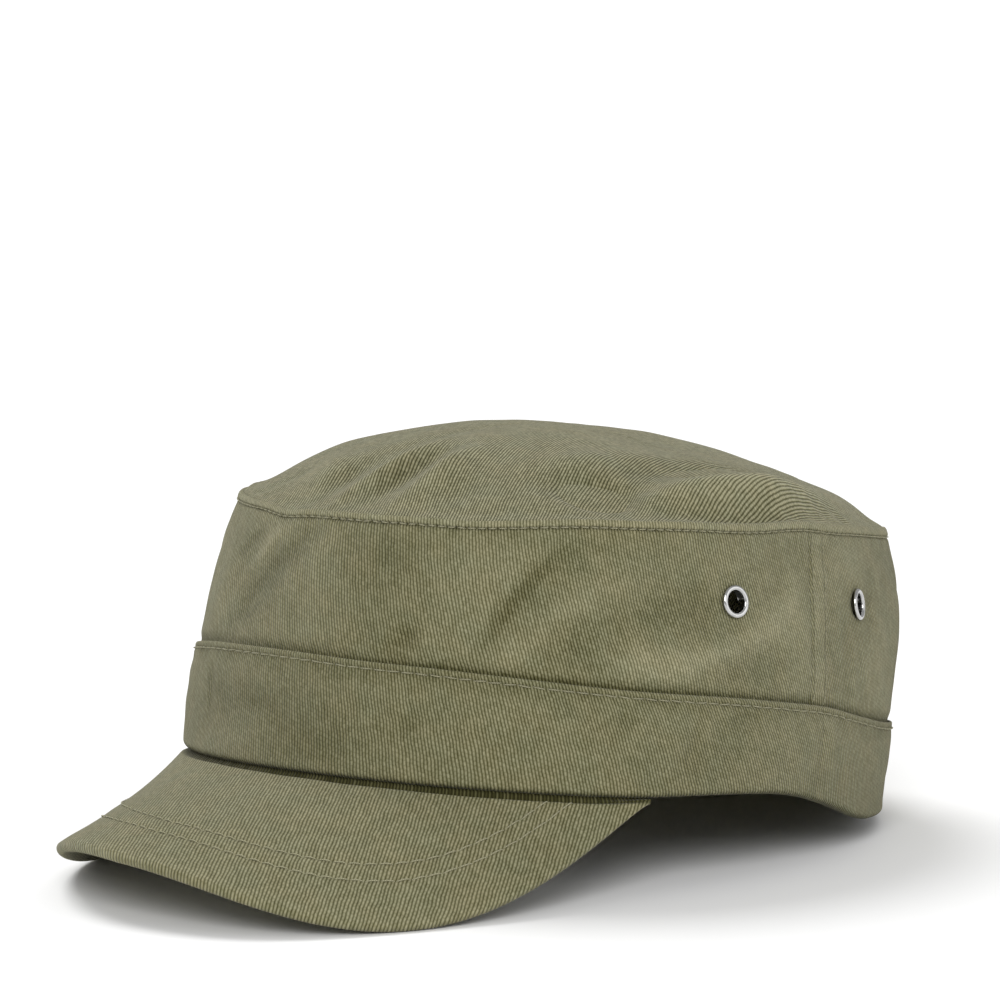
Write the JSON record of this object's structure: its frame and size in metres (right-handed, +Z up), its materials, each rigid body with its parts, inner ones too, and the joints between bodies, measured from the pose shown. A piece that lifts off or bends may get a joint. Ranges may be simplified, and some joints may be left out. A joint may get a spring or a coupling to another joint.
{
  "type": "cadet cap",
  "caption": "Soft cotton cadet cap: low drum with a domed top panel, wide hem band, curved stitched visor and metal vent eyelets.",
  "frame": {"origin": "centre of the bounding box at the surface that the cap lies on", "axes": "+Z up, -Y towards the wearer's front (the visor), +X towards the wearer's left"},
  "size_m": [0.1732, 0.2676, 0.1113],
  "materials": {
    "olive_twill": "matte cotton twill",
    "nickel": "polished nickel"
  },
  "bodies": {
    "root": {"top_panel": "olive_twill", "side_panel_front": "olive_twill", "side_panel_back": "olive_twill", "band_front": "olive_twill", "band_back": "olive_twill", "visor": "olive_twill", "eyelet_left_front": "nickel", "eyelet_left_rear": "nickel", "eyelet_right_front": "nickel", "eyelet_right_rear": "nickel"}
  },
  "joints": []
}
